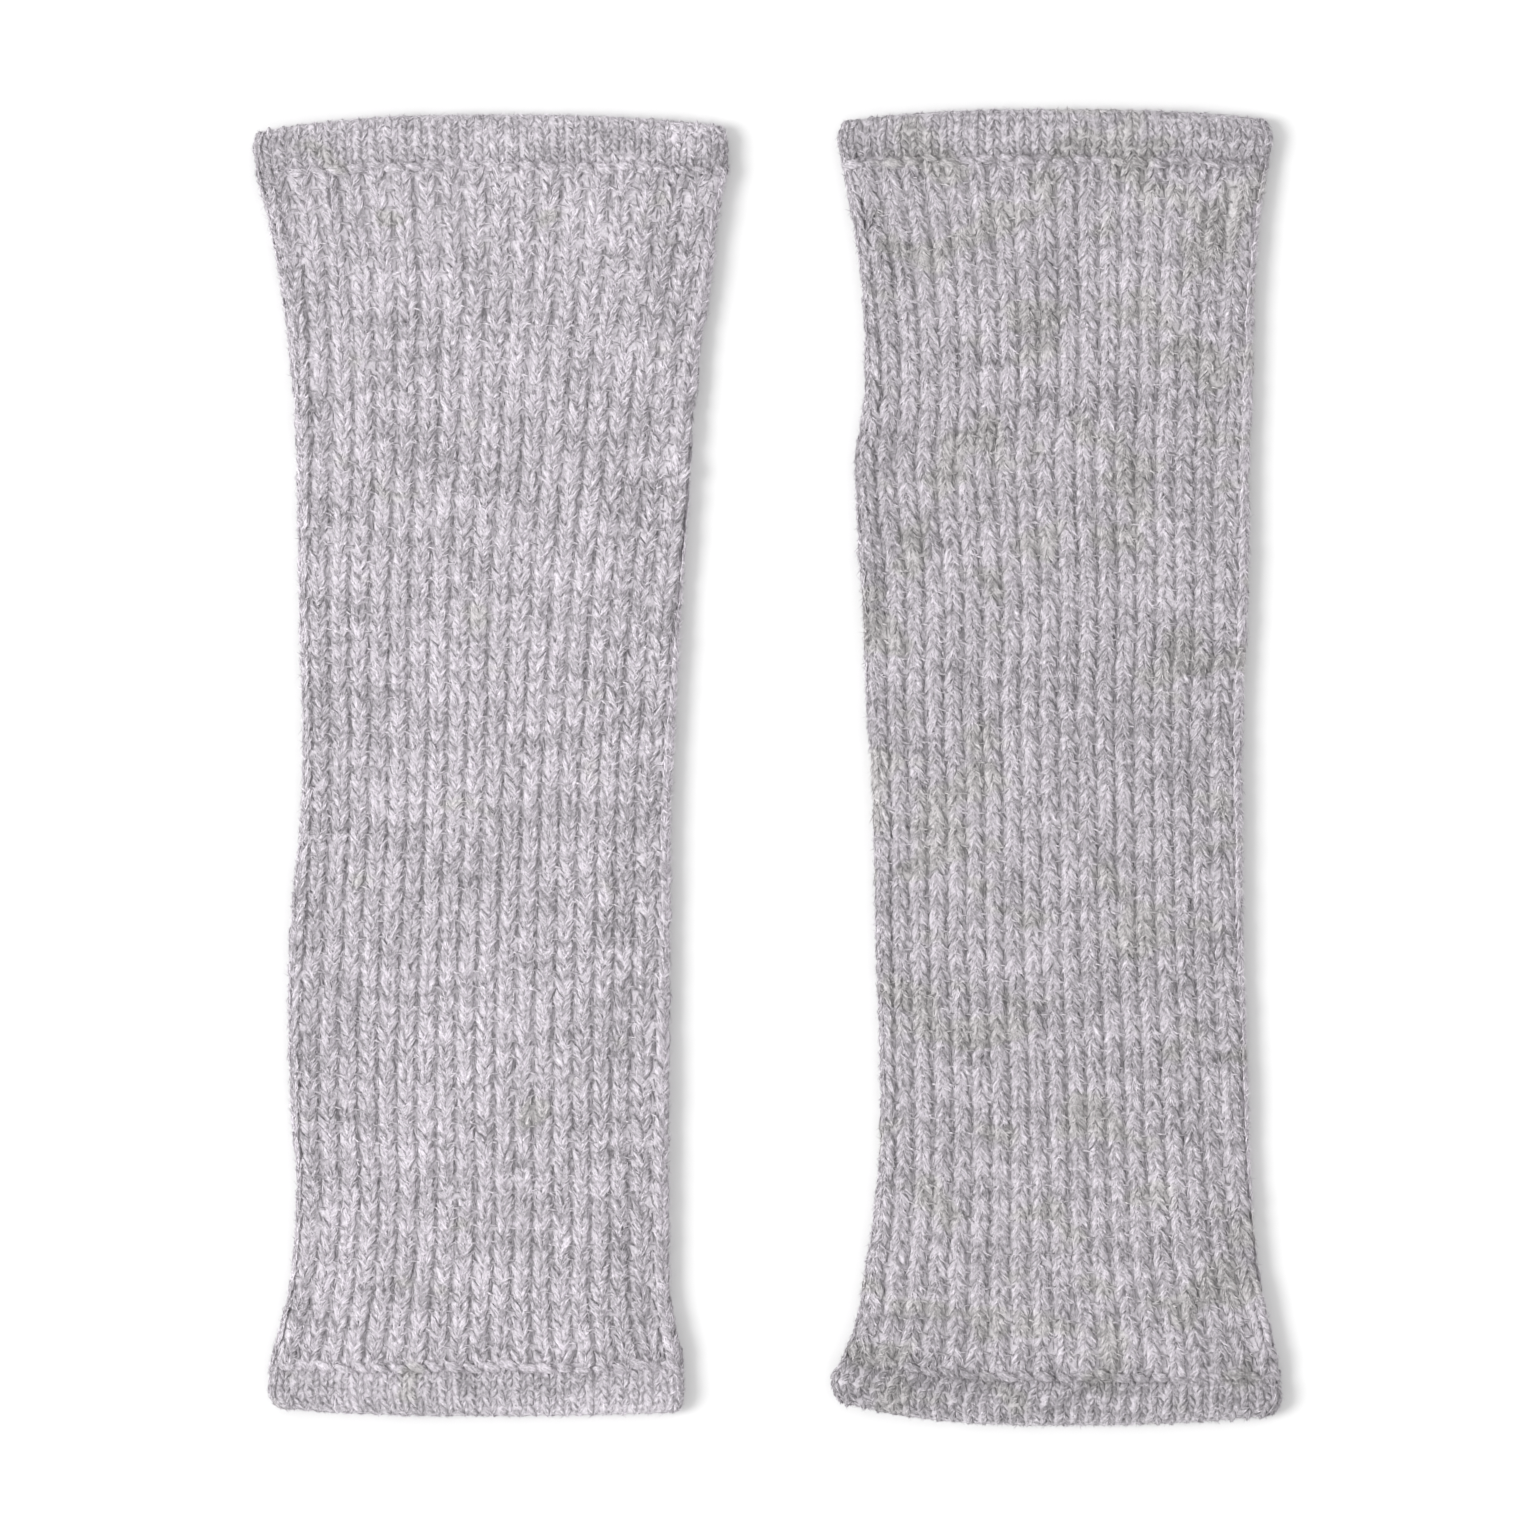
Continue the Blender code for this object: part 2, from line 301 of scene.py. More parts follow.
# How fine each pattern in the wool is, across and along a glove, in turns to the metre, and
# along and across a leg of yarn
COURSES_GRAIN = (60.0, 150.0, 60.0)
PATCHES_GRAIN = (160.0, 260.0, 160.0)
WARM_GRAIN = (70.0, 110.0, 70.0)
FLECKS_GRAIN = 1300.0
STREAKS_GRAIN = (6.0, 6.0, 1.8)

# How far the streaks move on from one leg to the next, so that no two are alike
LEG_SHIFT = (7.3, 3.1)

# How strongly each pattern shows in the wool's lightness
PATTERN_WEIGHTS = {"courses": 0.85, "patches": 0.6, "flecks": 1.4, "streaks": 1.3, "strands": 1.0}


# Shape of the cloth

def blend(low, high, share):
    """The line lying a share of the way from one line to another."""
    return Line(*(a + (b - a) * share for a, b in zip(low, high)))


def smooth(share):
    """A share eased at both ends."""
    share = min(max(share, 0.0), 1.0)
    return share * share * (3.0 - 2.0 * share)


def line_at(lines, height):
    """The line across a ribbed tube at any height, on a smooth curve through the given ones."""
    last = len(lines) - 2
    number = max([0] + [n for n in range(last + 1) if lines[n].height <= height])
    before, low = lines[max(number - 1, 0)], lines[number]
    high, after = lines[number + 1], lines[min(number + 2, last + 1)]
    step = high.height - low.height
    share = (height - low.height) / step
    square, cube = share * share, share ** 3
    values = []
    for a, b, c, d in zip(before[1:], low[1:], high[1:], after[1:]):
        slope_low = (c - a) * step / (high.height - before.height)
        slope_high = (d - b) * step / (after.height - low.height)
        values.append((2 * cube - 3 * square + 1) * b + (cube - 2 * square + share) * slope_low
                      + (3 * square - 2 * cube) * c + (cube - square) * slope_high)
    return Line(height, *values)


def girth(line):
    """Length of one face of the tube along a line, round both folds."""
    return line.right - line.left - 2.0 * FOLD + math.pi * FOLD


def height_at(line, across):
    """How far up the glove a line lies at a place across it."""
    turn = 2.0 * (across - line.left) / (line.right - line.left) - 1.0
    drop = line.left_drop if turn < 0.0 else line.right_drop
    return line.height - drop * abs(turn) ** BOW


def tube_point(line, share, side, face, sunk, fullness=1.0):
    """A point of the outer cloth; side is 1 on the front and -1 on the back."""
    quarter = 0.5 * math.pi * FOLD
    total = girth(line)
    along = share * total
    if share < 0.0 or share > 1.0:
        side = -side
        along = -along if share < 0.0 else 2.0 * total - along
    near = min(along, total - along)
    if near < quarter:
        angle = near / FOLD
        inward = FOLD - (FOLD - sunk) * math.cos(angle)
        lift = (face - sunk) * math.sin(angle)
    else:
        inward = FOLD + near - quarter
        lift = face - sunk
    across = line.left + inward if along < 0.5 * total else line.right - inward
    return np.array((across, height_at(line, across), MIDDLE + side * lift * fullness))


def rib_patch(side):
    """The ribbed tube from its lower seam to its upper one."""
    lines = RIB_LINES[side]
    low, length = lines[0].height, lines[-1].height - lines[0].height
    heights, left, right = zip(*RIB_DRIFT[side])

    def placed(along, share, face):
        at_left = np.interp(low + along, heights, left)
        at_right = np.interp(low + along, heights, right)
        drift = at_left + (at_right - at_left) * min(max(share, 0.0), 1.0)
        return share + face * drift / girth(line_at(lines, low + along))

    def point(along, share, face, sunk):
        line = line_at(lines, low + along)
        near_seam = min(along, length - along) / SEAM_SHOULDER
        full = RIB_FACE if face > 0 else MIDDLE
        dip = SEAM_DIP * (1.0 - smooth(near_seam)) * (face > 0)
        return tube_point(line, placed(along, share, face), face, full - dip, sunk)

    return Patch(length, point, placed)


def hem_patch(side, end):
    """A turned hem from its seam to its folded edge, and round the fold to the slit."""
    seam = RIB_LINES[side][0 if end == "lower" else -1]
    full, edge = HEM_LINES[side + "_" + end]
    reach_full = abs(full.height - seam.height)
    flat = abs(edge.height - seam.height) - LIP
    turn = 0.5 * math.pi * LIP
    length = flat + turn

    def point(along, share, face, sunk):
        angle = max(along - flat, 0.0) / LIP
        reach = flat + LIP * math.sin(angle) if along > flat else along
        reach -= sunk * math.sin(angle)
        if reach <= reach_full:
            line = blend(seam, full, reach / reach_full)
        else:
            way = min((reach - reach_full) / abs(edge.height - full.height), 1.0)
            narrowed = blend(full, edge, 1.0 - math.sqrt(1.0 - way * way))
            line = blend(full, edge, way)._replace(left=narrowed.left, right=narrowed.right)
        outer = HEM_FACE if face > 0 else MIDDLE
        dip = SEAM_DIP * (1.0 - smooth(along / SEAM_SHOULDER)) * (face > 0)
        return tube_point(line, share, face, outer - dip, sunk, math.cos(angle))

    return Patch(length, point, lambda along, share, face: share)


def furrow_share(patch, along):
    """How much of their full depth the furrows have: they close up towards both seams."""
    return smooth(min(along, patch.length - along) / FURROW_FADE)


def fold_share(share):
    """How much of their full depth the furrows have beside the folds, where they close up."""
    return FOLD_FURROW + (1.0 - FOLD_FURROW) * smooth(min(share, 1.0 - share) / FOLD_FADE)


def unit(vector):
    """A vector made one long."""
    return vector / max(np.linalg.norm(vector), 1e-9)


def stitch_at(patch, along, share, face, sunk, width, knit_way, shade=0.0):
    """Where a stitch sits and how it is turned, from the cloth close round it."""
    reach_up, reach_across = 0.4, 0.004
    up = (patch.point(along + reach_up, share, face, sunk)
          - patch.point(along - reach_up, share, face, sunk))
    across = (patch.point(along, share + reach_across, face, sunk)
              - patch.point(along, share - reach_across, face, sunk))
    outward = unit(np.cross(across, up))
    middle = patch.point(along, share, face, 0.0)
    if np.dot(outward, middle - patch.point(along, share, face, 1.0)) < 0.0:
        outward = -outward
    wale = knit_way * unit(up)
    course = unit(np.cross(wale, outward)) * width
    return Stitch(patch.point(along, share, face, sunk), outward, wale, course, shade)


# Knitting charts

def front_furrows(side):
    """Furrows across a front as shares of its girth, with those just round each fold."""
    before, after = EDGE_RIBS[side]
    furrows = [before + count for count in range(-FOLD_RIBS, PLAIN_RIBS + 1)]
    furrows.append(furrows[-1] + WIDE_RIB)
    whole = furrows[-1] + after
    furrows.append(furrows[-1] + 1.0)
    return [furrow / whole for furrow in furrows]


def back_furrows(side):
    """Furrows across a back as shares of its girth, meeting the front's round both folds."""
    front = front_furrows(side)
    first, last = -front[0], 2.0 - front[-1]
    return [first + (last - first) * count / BACK_RIBS for count in range(BACK_RIBS + 1)]


def shade_past(shade, share):
    """How much of a fold's painted shade or an edge's painted highlight has come at a share of the width.
    """
    return smooth((share - shade.start) / shade.fade)


def rib_painted_shade(patch, along, share):
    """Painted shade on the ribs beside the seams and the folds, with a painted highlight on the right
    fold's edge.
    """
    near_seam = 1.0 - smooth(min(along, patch.length - along) / SEAM_PAINTED_SHADE_REACH)
    near_left = 1.0 - shade_past(LEFT_FOLD_PAINTED_SHADE, share)
    near_right = shade_past(RIGHT_FOLD_PAINTED_SHADE, share)
    right_edge = shade_past(RIGHT_EDGE_PAINTED_HIGHLIGHT, share)
    return (SEAM_PAINTED_SHADE * near_seam + LEFT_FOLD_PAINTED_SHADE.amount * near_left
            + RIGHT_FOLD_PAINTED_SHADE.amount * near_right + RIGHT_EDGE_PAINTED_HIGHLIGHT.amount * right_edge)


def rib_chart(side, face, sunk, place=0.5, ribs=None, higher=0.0):
    """A stitch at every course of every rib, at a share of the way across it and up the course."""
    patch = rib_patch(side)
    furrows = front_furrows(side) if face > 0 else back_furrows(side)
    courses = round(patch.length / COURSE)
    chart = []
    for number, (start, stop) in enumerate(zip(furrows, furrows[1:])):
        if ribs is not None and number not in ribs:
            continue
        for course in range(courses if higher == 0.0 else courses - 1):
            along = patch.length * (course + 0.5 + higher) / courses
            wide = girth(line_at(RIB_LINES[side], RIB_LINES[side][0].height + along)) * (stop - start)
            share = start + (stop - start) * place
            placed = patch.placed(along, share, face)
            depth = STITCH_SUNK + (sunk - STITCH_SUNK) * furrow_share(patch, along) * fold_share(placed)
            # Each stitch carries the painted shade and highlight of its place on the ribs
            chart.append(stitch_at(patch, along, share, face, depth, wide, KNIT_WAY[side],
                                   rib_painted_shade(patch, along, placed)))
    return chart


def hem_chart(side, end, sunk):
    """A stitch at every course of every wale of a hem, on both faces and round its edge."""
    patch = hem_patch(side, end)
    way = KNIT_WAY[side] if end == "upper" else -KNIT_WAY[side]
    wales = round(girth(RIB_LINES[side][-1 if end == "upper" else 0]) / HEM_WALE)
    courses = round((patch.length - HEM_START) / HEM_COURSE)
    chart = []
    for face in (1, -1):
        for wale in range(wales):
            for course in range(courses):
                along = HEM_START + (patch.length - HEM_START) * (course + 0.5) / courses
                share = (wale + 0.5) / wales
                folded = smooth((along - patch.length + 0.5 * math.pi * LIP) / LIP)
                depth = sunk + HEM_EDGE_SUNK * folded
                shade = HEM_EDGE_PALER[end] * smooth(along / patch.length)
                # A painted highlight along the hem's right fold, as on the ribs
                shade += HEM_RIGHT_EDGE_PAINTED_HIGHLIGHT.amount * shade_past(HEM_RIGHT_EDGE_PAINTED_HIGHLIGHT, share)
                chart.append(stitch_at(patch, along, share, face, depth, HEM_WALE, way, shade))
    return chart


def seam_chart(side, end):
    """The loops of the linking seam, all round the tube, on the rib's last course."""
    patch = rib_patch(side)
    loops = round(girth(RIB_LINES[side][-1 if end == "upper" else 0]) / LOOP_PITCH)
    along = SEAM_INSET if end == "lower" else patch.length - SEAM_INSET
    chart = []
    for face, pressed in ((1, 0.0), (-1, LOOP_BACK_SUNK)):
        for loop in range(loops):
            share = (loop + 0.5) / loops
            depth = max(pressed, LOOP_FOLD_SUNK * (1.0 - fold_share(share)))
            chart.append(stitch_at(patch, along, share, face, depth, HEM_WALE, 1.0))
    return chart


# Meshes

def make_object(name, points, faces):
    """A mesh object in metres from points in millimetres."""
    mesh = bpy.data.meshes.new(name)
    mesh.from_pydata([tuple(float(x) * MM for x in point) for point in points], [], faces)
    piece = bpy.data.objects.new(name, mesh)
    bpy.context.collection.objects.link(piece)
    return piece


def chart_object(chart):
    """Loose points, one a stitch, that carry the way each stitch is turned."""
    piece = make_object("chart", [stitch.point for stitch in chart], [])
    for name in ("outward", "wale", "course"):
        scale = MM if name == "course" else 1.0
        layer = piece.data.attributes.new(name, "FLOAT_VECTOR", "POINT")
        values = np.array([getattr(stitch, name) for stitch in chart]) * scale
        layer.data.foreach_set("vector", values.astype(np.float32).ravel())
    layer = piece.data.attributes.new("shade", "FLOAT", "POINT")
    layer.data.foreach_set("value", [stitch.shade for stitch in chart])
    return piece


def cloth_rings(patch, distances, columns_front, columns_back, sunk, depth_full):
    """Rings of a tube's outer cloth, each once round the front and back, and its plain inner side."""
    outer, inner = [], []
    columns = [(share, 1, depth) for share, depth in columns_front]
    columns += [(share, -1, depth) for share, depth in reversed(columns_back)]
    for along in distances:
        relief = depth_full * furrow_share(patch, along)
        shares = [patch.placed(along, share, face) for share, face, depth in columns]
        ring = [patch.point(along, share, face, sunk + relief * depth * fold_share(placed))
                for (share, face, depth), placed in zip(columns, shares)]
        outer.append(ring)
        places = [point[0] for point in ring]
        middle = 0.5 * (max(places) + min(places))
        half = 0.5 * (max(places) - min(places))
        squeeze = (half - EDGE_INSET) / half
        sides = [face if 0.0 <= placed <= 1.0 else -face
                 for (share, face, depth), placed in zip(columns, shares)]
        inner.append([np.array((middle + (point[0] - middle) * squeeze, point[1],
                                MIDDLE + 0.5 * SLIT * side)) for point, side in zip(ring, sides)])
    return outer, inner


def cloth_object(name, outer, inner):
    """A closed tube wall of cloth from its outer and inner rings."""
    width = len(outer[0])
    rings = outer + inner[::-1]
    points = [point for ring in rings for point in ring]
    faces = []
    for number in range(len(rings)):
        following = (number + 1) % len(rings)
        for column in range(width):
            beside = (column + 1) % width
            faces.append((number * width + column, number * width + beside,
                          following * width + beside, following * width + column))
    piece = make_object(name, points, faces)
    recalculate_normals(piece)
    piece.data.polygons.foreach_set("use_smooth", [True] * len(faces))
    return piece


def recalculate_normals(piece):
    """Turn a closed mesh's faces outwards."""
    volume = 0.0
    mesh = piece.data
    for polygon in mesh.polygons:
        corners = [mesh.vertices[number].co for number in polygon.vertices]
        for second, third in zip(corners[1:], corners[2:]):
            volume += corners[0].dot(second.cross(third))
    if volume < 0.0:
        mesh.flip_normals()


def rib_columns(furrows):
    """Places across a ribbed face with their depths from crest to furrow."""
    columns = []
    for start, stop in zip(furrows, furrows[1:]):
        for step, height in enumerate(RIB_SHAPE):
            share = start + (stop - start) * step / len(RIB_SHAPE)
            if 0.0 <= share < 1.0:
                columns.append((share, 1.0 - height))
    return columns


def rib_cloth(side):
    """The ground of a ribbed tube, under its stitches."""
    patch = rib_patch(side)
    rings = round(patch.length / COURSE / 2.0)
    *first, low = SEAM_RINGS
    high = patch.length - low
    distances = [*first, *(low + (high - low) * number / rings for number in range(rings + 1)),
                 *(patch.length - distance for distance in reversed(first))]
    front = rib_columns(front_furrows(side))
    back = rib_columns(back_furrows(side))
    rings = cloth_rings(patch, distances, front, back, RIB_CLOTH_SUNK, RIB_DEPTH)
    return cloth_object(side + "_rib_cloth", *rings)


def hem_cloth(side, end):
    """The ground of a turned hem, under its stitches."""
    patch = hem_patch(side, end)
    reach = patch.length + HEM_TUCK
    distances = [reach * number / HEM_RINGS - HEM_TUCK for number in range(HEM_RINGS + 1)]
    columns = [(number / HEM_COLUMNS, 0.0) for number in range(HEM_COLUMNS)]
    name = side + "_" + end + "_hem_cloth"
    return cloth_object(name, *cloth_rings(patch, distances, columns, columns, HEM_CLOTH_SUNK, 0.0))


# Geometry nodes

X_AXIS, Y_AXIS, Z_AXIS = (1.0, 0.0, 0.0), (0.0, 1.0, 0.0), (0.0, 0.0, 1.0)


def new_tree(name, inputs):
    """A geometry tree with named inputs that takes and gives a mesh."""
    tree = bpy.data.node_groups.new(name, "GeometryNodeTree")
    tree.interface.new_socket("Geometry", in_out="INPUT", socket_type="NodeSocketGeometry")
    for label, kind in inputs:
        tree.interface.new_socket(label, in_out="INPUT", socket_type="NodeSocket" + kind)
    tree.interface.new_socket("Geometry", in_out="OUTPUT", socket_type="NodeSocketGeometry")
    source = tree.nodes.new("NodeGroupInput")
    return tree, source.outputs


def give(tree, socket, value):
    """Set an input to a value or to another node's output."""
    if isinstance(value, bpy.types.NodeSocket):
        tree.links.new(value, socket)
    else:
        socket.default_value = value


def add(tree, kind, settings=None, **inputs):
    """A node with its settings and its inputs, which are named by their labels or as i0, i1 and so on."""
    node = tree.nodes.new(kind)
    for name, value in (settings or {}).items():
        setattr(node, name, value)
    for name, value in inputs.items():
        numbered = name[0] == "i" and name[1:].isdigit()
        give(tree, node.inputs[int(name[1:]) if numbered else name.replace("_", " ")], value)
    return node


def maths(tree, operation, first, second=0.0, third=0.0):
    """The output of a Math node."""
    settings = {"operation": operation}
    return add(tree, "ShaderNodeMath", settings, i0=first, i1=second, i2=third).outputs[0]


def vector_maths(tree, operation, first, second=(0.0, 0.0, 0.0)):
    """The output of a Vector Math node between two vectors."""
    settings = {"operation": operation}
    return add(tree, "ShaderNodeVectorMath", settings, i0=first, i1=second).outputs[0]


def scaled(tree, vector, amount):
    """A vector made longer or shorter."""
    node = add(tree, "ShaderNodeVectorMath", {"operation": "SCALE"}, i0=vector, Scale=amount)
    return node.outputs[0]


def random_value(tree, low, high, seed):
    """A random number for each stitch or fibre."""
    node = tree.nodes.new("FunctionNodeRandomValue")
    node.data_type = "FLOAT"
    floats = [socket for socket in node.inputs if socket.type == "VALUE" and socket.enabled]
    for socket, value in zip(floats, (low, high)):
        give(tree, socket, value)
    give(tree, node.inputs["Seed"], seed)
    return next(socket for socket in node.outputs if socket.enabled and socket.type == "VALUE")


def named(tree, name, kind):
    """A stored attribute."""
    node = tree.nodes.new("GeometryNodeInputNamedAttribute")
    node.data_type = kind
    node.inputs["Name"].default_value = name
    return next(socket for socket in node.outputs if socket.enabled and socket.name == "Attribute")


def stored(tree, geometry, name, kind, domain, value):
    """The geometry with an attribute stored on it."""
    node = tree.nodes.new("GeometryNodeStoreNamedAttribute")
    node.data_type = kind
    node.domain = domain
    tree.links.new(geometry, node.inputs["Geometry"])
    node.inputs["Name"].default_value = name
    tree.links.new(value, node.inputs["Value"])
    return node.outputs["Geometry"]


def float_curve(tree, value, points):
    """A number read off a smooth curve through points."""
    node = tree.nodes.new("ShaderNodeFloatCurve")
    curve = node.mapping.curves[0]
    for number, (x, y) in enumerate(points):
        if number < 2:
            curve.points[number].location = (x, y)
        else:
            curve.points.new(x, y)
    node.mapping.update()
    tree.links.new(value, node.inputs["Value"])
    return node.outputs[0]


def baking_map(tree, geometry, piece_map, cell, cells):
    """The geometry with each stitch's own map laid in its own cell of the baking map."""
    column = maths(tree, "MODULO", cell, cells)
    row = maths(tree, "FLOOR", maths(tree, "DIVIDE", cell, cells))
    corner = add(tree, "ShaderNodeCombineXYZ", X=column, Y=row).outputs[0]
    place = scaled(tree, vector_maths(tree, "ADD", corner, piece_map),
                   maths(tree, "DIVIDE", 1.0, cells))
    return stored(tree, geometry, "OFBake", "FLOAT2", "CORNER", place)


def above_floor(tree, geometry):
    """The geometry with nothing below the floor, and nothing moved sideways."""
    place = tree.nodes.new("GeometryNodeInputPosition").outputs[0]
    lowest = add(tree, "ShaderNodeCombineXYZ", X=-1.0, Y=-1.0, Z=LEAST_HEIGHT * MM).outputs[0]
    raised = vector_maths(tree, "MAXIMUM", place, lowest)
    return add(tree, "GeometryNodeSetPosition", Geometry=geometry, Position=raised).outputs[0]


def without(tree, geometry, *names):
    """The geometry without some of its attributes."""
    for name in names:
        geometry = add(tree, "GeometryNodeRemoveAttribute", Geometry=geometry, Name=name).outputs[0]
    return geometry


def facing_along(tree, outward, along):
    """A rotation that stands on the cloth and looks along it."""
    upright = add(tree, "FunctionNodeAlignRotationToVector", {"axis": "Z"}, Vector=outward).outputs[0]
    return add(tree, "FunctionNodeAlignRotationToVector", {"axis": "Y", "pivot_axis": "Z"},
               Rotation=upright, Vector=along).outputs[0]


def turned(tree, rotation, axis, angle):
    """A rotation turned on about one of its own axes."""
    turn = add(tree, "FunctionNodeAxisAngleToRotation", Axis=axis, Angle=angle).outputs[0]
    return add(tree, "FunctionNodeRotateRotation", {"rotation_space": "LOCAL"},
               Rotation=rotation, Rotate_By=turn).outputs[0]


def stitch_tree():
    """Half a knitted stitch at every point of a chart: a soft leaf of yarn, leaning to one side."""
    tree, given = new_tree("yarn_legs", [
        ("Length", "Float"), ("Width", "Float"), ("Thickness", "Float"), ("Arch", "Float"),
        ("Lean", "Float"), ("Roll", "Float"), ("Aside", "Float"), ("Slant", "Float"),
        ("Tip Down", "Float"), ("Unevenness", "Float"), ("Grain", "Float"), ("Paleness", "Float"),
        ("Sides", "Int"), ("Segments", "Int"), ("Seed", "Int"), ("First Cell", "Int"),
        ("Cells Across", "Int"), ("Wool", "Material")])
    body = add(tree, "GeometryNodeMeshCylinder", {"fill_type": "NGON"}, Vertices=given["Sides"],
               Side_Segments=given["Segments"], Radius=0.5, Depth=1.0)
    place = tree.nodes.new("GeometryNodeInputPosition").outputs[0]
    parts = add(tree, "ShaderNodeSeparateXYZ", Vector=place).outputs
    along = maths(tree, "ADD", parts["Z"], 0.5)
    fullness = float_curve(tree, along, LEG_OUTLINE)
    rise = maths(tree, "SUBTRACT", 0.25, maths(tree, "POWER", parts["Z"], 2.0))
    rise = maths(tree, "MULTIPLY", rise, maths(tree, "MULTIPLY", given["Arch"], 4.0))
    rise = maths(tree, "SUBTRACT", rise, maths(tree, "MULTIPLY", parts["Z"], given["Tip Down"]))
    wide = maths(tree, "MULTIPLY", maths(tree, "MULTIPLY", parts["X"], fullness), given["Width"])
    tall = maths(tree, "MULTIPLY", maths(tree, "MULTIPLY", parts["Y"], fullness), given["Thickness"])
    long = maths(tree, "MULTIPLY", parts["Z"], given["Length"])
    shape = add(tree, "ShaderNodeCombineXYZ", X=wide, Y=long, Z=maths(tree, "ADD", tall, rise)).outputs[0]
    slant = maths(tree, "ADD", parts["X"], maths(tree, "MULTIPLY", parts["Z"], given["Slant"]))
    slanted = add(tree, "ShaderNodeCombineXYZ", X=slant, Y=parts["Y"], Z=parts["Z"]).outputs[0]
    yarn = stored(tree, body.outputs["Mesh"], "yarn", "FLOAT_VECTOR", "POINT", slanted)
    yarn = stored(tree, yarn, "yarn_map", "FLOAT2", "CORNER", body.outputs["UV Map"])
    yarn = add(tree, "GeometryNodeSetPosition", Geometry=yarn, Position=shape).outputs[0]
    # Laid down along its length, the leg has turned inside out
    yarn = add(tree, "GeometryNodeFlipFaces", Mesh=yarn).outputs[0]

    uneven = given["Unevenness"]
    less = maths(tree, "MULTIPLY", uneven, -1.0)

    def wobble(offset, amount):
        """A random step of at most an amount, different for each leg."""
        seed = maths(tree, "ADD", given["Seed"], offset)
        return maths(tree, "MULTIPLY", random_value(tree, less, uneven, seed), amount)

    outward = named(tree, "outward", "FLOAT_VECTOR")
    wale = named(tree, "wale", "FLOAT_VECTOR")
    course = named(tree, "course", "FLOAT_VECTOR")
    aside = scaled(tree, course, maths(tree, "ADD", given["Aside"], wobble(1, WOBBLE["aside"])))
    most_along = maths(tree, "MULTIPLY", given["Length"], WOBBLE["along"])
    along_wale = scaled(tree, wale, wobble(2, most_along))
    most_out = maths(tree, "MULTIPLY", given["Thickness"], WOBBLE["out"])
    out = scaled(tree, outward, wobble(3, most_out))
    offset = vector_maths(tree, "ADD", vector_maths(tree, "ADD", aside, along_wale), out)
    moved = add(tree, "GeometryNodeSetPosition", Geometry=given["Geometry"], Offset=offset).outputs[0]
    grain = add(tree, "ShaderNodeVectorRotate", {"rotation_type": "AXIS_ANGLE"}, Vector=wale,
                Axis=outward, Angle=given["Grain"]).outputs[0]
    moved = stored(tree, moved, "grain", "FLOAT_VECTOR", "POINT", grain)
    # Each leg's paleness adds its own tone to its stitch's painted shade and highlight; for the ticks the
    # tone itself is painted shadow
    moved = stored(tree, moved, "paleness", "FLOAT", "POINT",
                   maths(tree, "ADD", given["Paleness"], named(tree, "shade", "FLOAT")))
    upright = facing_along(tree, outward, wale)
    upright = turned(tree, upright, Z_AXIS, maths(tree, "ADD", given["Lean"], wobble(4, WOBBLE["lean"])))
    upright = turned(tree, upright, Y_AXIS, maths(tree, "ADD", given["Roll"], wobble(8, WOBBLE["roll"])))
    size = add(tree, "ShaderNodeCombineXYZ",
               X=maths(tree, "ADD", 1.0, wobble(5, WOBBLE["width"])),
               Y=maths(tree, "ADD", 1.0, wobble(6, WOBBLE["length"])),
               Z=maths(tree, "ADD", 1.0, wobble(7, WOBBLE["thickness"]))).outputs[0]
    number = tree.nodes.new("GeometryNodeInputIndex").outputs[0]
    legs = add(tree, "GeometryNodeInstanceOnPoints", Points=moved, Instance=yarn,
               Rotation=upright, Scale=size).outputs[0]
    cell = maths(tree, "ADD", number, given["First Cell"])
    legs = stored(tree, legs, "leg", "FLOAT", "INSTANCE", cell)
    legs = add(tree, "GeometryNodeRealizeInstances", Geometry=legs).outputs[0]
    legs = baking_map(tree, legs, named(tree, "yarn_map", "FLOAT_VECTOR"), named(tree, "leg", "FLOAT"),
                      given["Cells Across"])
    legs = without(tree, above_floor(tree, legs), "yarn_map", "wale", "course", "shade")
    legs = add(tree, "GeometryNodeSetShadeSmooth", Geometry=legs).outputs[0]
    legs = add(tree, "GeometryNodeSetMaterial", Geometry=legs, Material=given["Wool"]).outputs[0]
    sink = tree.nodes.new("NodeGroupOutput")
    tree.links.new(legs, sink.inputs[0])
    return tree


